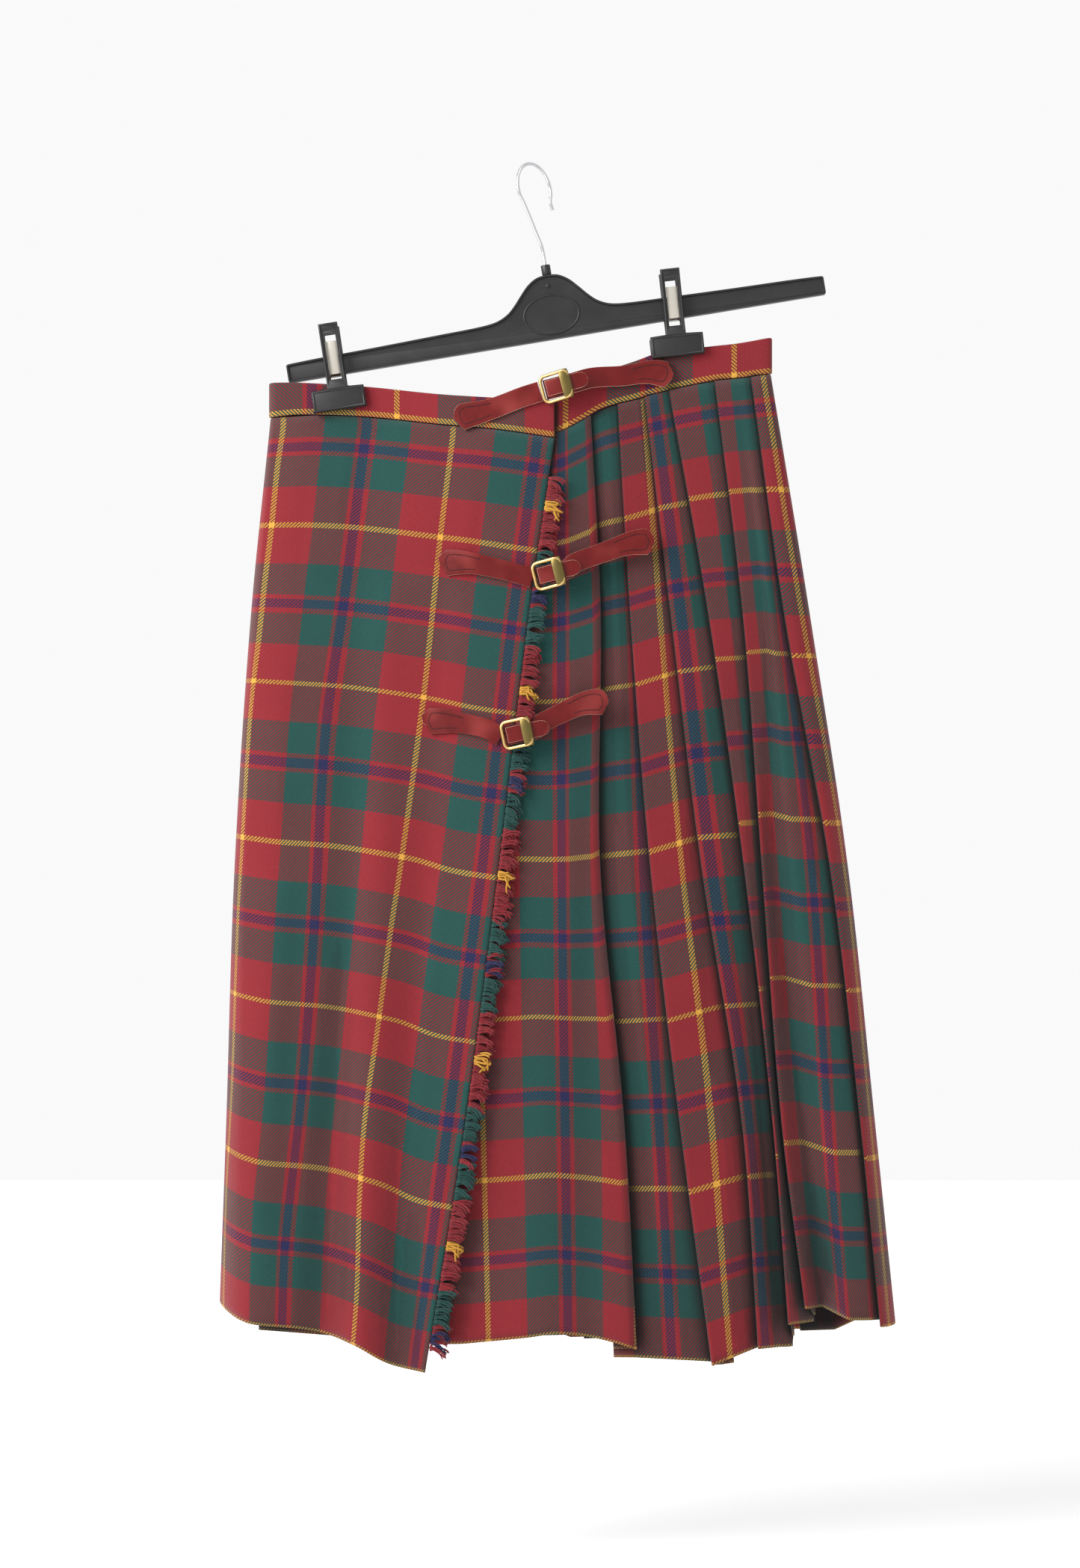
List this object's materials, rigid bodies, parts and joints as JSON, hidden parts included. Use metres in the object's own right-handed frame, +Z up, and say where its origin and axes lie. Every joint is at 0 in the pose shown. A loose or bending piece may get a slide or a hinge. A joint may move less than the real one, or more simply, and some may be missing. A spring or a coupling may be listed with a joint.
{
  "type": "scottish kilt on a clip hanger",
  "caption": "Pleated tartan wrap kilt with fringed apron and leather buckle straps, hung flat by its waistband from a clip hanger.",
  "frame": {"origin": "inner top of the hanger's hook, where a rail or wall hook carries it", "axes": "+X to the right as the front is seen, -Y out of the kilt's front, +Z up"},
  "size_m": [0.488, 0.0776, 0.8674],
  "materials": {
    "tartan_cloth": "matt wool twill in a red, green, navy and yellow tartan",
    "fringe_yarn": "unravelled wool yarn in the tartan's colours",
    "strap_leather": "glossy dark red leather with pale cut edges",
    "buckle_brass": "dull antique brass plate",
    "hanger_plastic": "charcoal moulded plastic, semi-gloss",
    "hook_steel": "bright plated steel wire",
    "spring_steel": "satin nickel-plated spring strip"
  },
  "bodies": {
    "root": {"over_apron": "tartan_cloth", "under_apron": "tartan_cloth", "pleated_front": "tartan_cloth", "pleated_back": "tartan_cloth", "waistband": "tartan_cloth", "fringe": "fringe_yarn", "strap_waist_tab": "strap_leather", "strap_waist_tongue": "strap_leather", "strap_waist_tip": "strap_leather", "strap_waist_buckle": "buckle_brass", "strap_waist_prong": "buckle_brass", "strap_hip_tab": "strap_leather", "strap_hip_tongue": "strap_leather", "strap_hip_tip": "strap_leather", "strap_hip_buckle": "buckle_brass", "strap_hip_prong": "buckle_brass", "strap_thigh_tab": "strap_leather", "strap_thigh_tongue": "strap_leather", "strap_thigh_tip": "strap_leather", "strap_thigh_buckle": "buckle_brass", "strap_thigh_prong": "buckle_brass", "hanger_bar": "hanger_plastic", "hanger_collar": "hanger_plastic", "hanger_hook": "hook_steel", "clip_left_front": "hanger_plastic", "clip_left_rear": "hanger_plastic", "clip_left_spring": "spring_steel", "clip_right_front": "hanger_plastic", "clip_right_rear": "hanger_plastic", "clip_right_spring": "spring_steel"}
  },
  "joints": []
}
